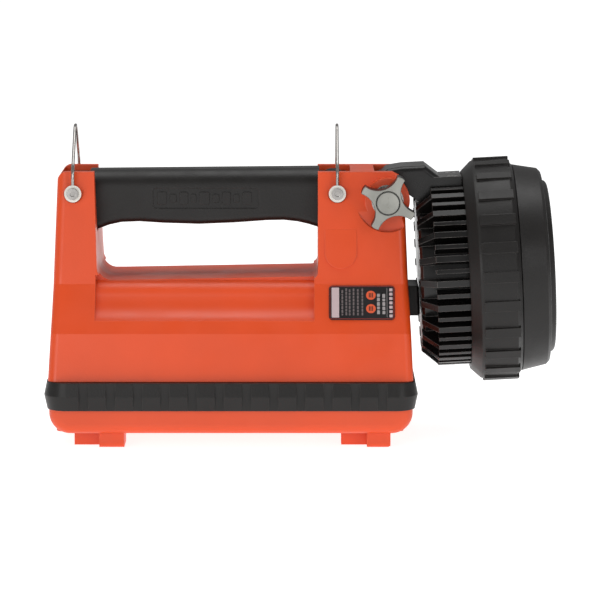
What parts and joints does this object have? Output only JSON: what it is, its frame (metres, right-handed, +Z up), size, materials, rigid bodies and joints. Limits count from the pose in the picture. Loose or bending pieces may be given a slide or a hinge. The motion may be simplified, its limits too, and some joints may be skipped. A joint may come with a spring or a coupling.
{
  "type": "firefighter hand lantern",
  "caption": "Hand lantern with a tilting, finned lamp head on a clamped neck, a carry handle, strap rings and a rubber bumper round its case.",
  "frame": {"origin": "under the middle of the whole lantern, at the level of the soles of its feet", "axes": "+X along the length towards the lamp head, +Y across, away from the clamp knob, +Z up"},
  "size_m": [0.2884, 0.1278, 0.178],
  "materials": {
    "orange_plastic": "satin moulded plastic",
    "black_rubber": "moulded rubber",
    "seal_rubber": "soft seal",
    "black_paint": "satin black paint",
    "black_plastic": "moulded plastic",
    "grey_knob": "light grey plastic",
    "bright_steel": "stainless steel",
    "mirror_dish": "vacuum metallised",
    "clear_lens": "clear polycarbonate",
    "lamp_yellow": "phosphor",
    "board_green": "circuit board",
    "battery_grey": "moulded battery case",
    "lead_red": "insulated wire",
    "lead_black": "insulated wire",
    "foam": "foam",
    "washer_white": "low-friction plastic",
    "label_black": "printed label"
  },
  "bodies": {
    "case": {"upper_housing": "orange_plastic", "lower_housing": "orange_plastic", "bumper_band": "black_rubber", "housing_seal": "seal_rubber", "base_screws": "bright_steel", "handle_core": "black_plastic", "handle_grip": "black_rubber", "pivot_nut": "bright_steel", "friction_washers": "washer_white", "ring_screws": "bright_steel", "ring_washers": "washer_white", "button_bezel": "black_plastic", "switch_body": "black_plastic", "switch_leads": "lead_red", "battery": "battery_grey", "battery_terminals": "bright_steel", "terminal_clips": "black_plastic", "battery_pads": "foam", "charge_contacts": "bright_steel", "control_board": "board_green", "board_spacers": "black_plastic", "board_screws": "bright_steel", "lead_red": "lead_red", "lead_black": "lead_black", "lamp_cable": "lead_black", "cable_grommet": "seal_rubber", "label_plate": "label_black", "head_rest": "black_rubber"},
    "head": {"neck": "black_paint", "heat_sink": "black_paint", "bezel_ring": "black_rubber", "front_bezel": "black_rubber", "lens": "clear_lens", "lens_seal": "seal_rubber", "reflector": "mirror_dish", "led_emitter": "lamp_yellow", "led_board": "board_green", "driver_board": "board_green", "driver_spacers": "black_plastic", "neck_gasket": "seal_rubber", "neck_screws": "bright_steel", "head_cable": "lead_black"},
    "washer": {"clamp_washer": "bright_steel"},
    "clamp": {"knob": "grey_knob", "knob_cap": "grey_knob", "clamp_stud": "bright_steel"},
    "rear_ring": {"ring_rear": "bright_steel"},
    "front_ring": {"ring_front": "bright_steel"},
    "button": {"switch_button": "seal_rubber"}
  },
  "joints": [
    {"name": "head_tilt", "type": "hinge", "parent": "case", "child": "head", "pos_m": [0.0484, 0, 0.137], "axis": [0, -1, 0], "range_deg": [0, 35]},
    {"name": "knob_advance", "type": "slide", "parent": "case", "child": "washer", "axis": [0, -1, 0], "range_m": [0, 0.00125]},
    {"name": "knob_turn", "type": "hinge", "parent": "washer", "child": "clamp", "pos_m": [0.0484, -0.035, 0.137], "axis": [0, -1, 0], "range_deg": [0, 360]},
    {"name": "button_press", "type": "slide", "parent": "case", "child": "button", "axis": [0, 0, -1], "range_m": [0, 0.002], "stiffness_N_per_m": 1500},
    {"name": "ring_rear_swing", "type": "hinge", "parent": "case", "child": "rear_ring", "pos_m": [-0.1284, 0, 0.141], "axis": [0, 1, 0], "range_deg": [-100, 62]},
    {"name": "ring_front_swing", "type": "hinge", "parent": "case", "child": "front_ring", "pos_m": [0.0202, 0, 0.141], "axis": [0, 1, 0], "range_deg": [-62, 25]}
  ],
  "couplings": [
    {"joint": "knob_turn", "follows": "knob_advance", "rad_per_m": 5026.5}
  ]
}
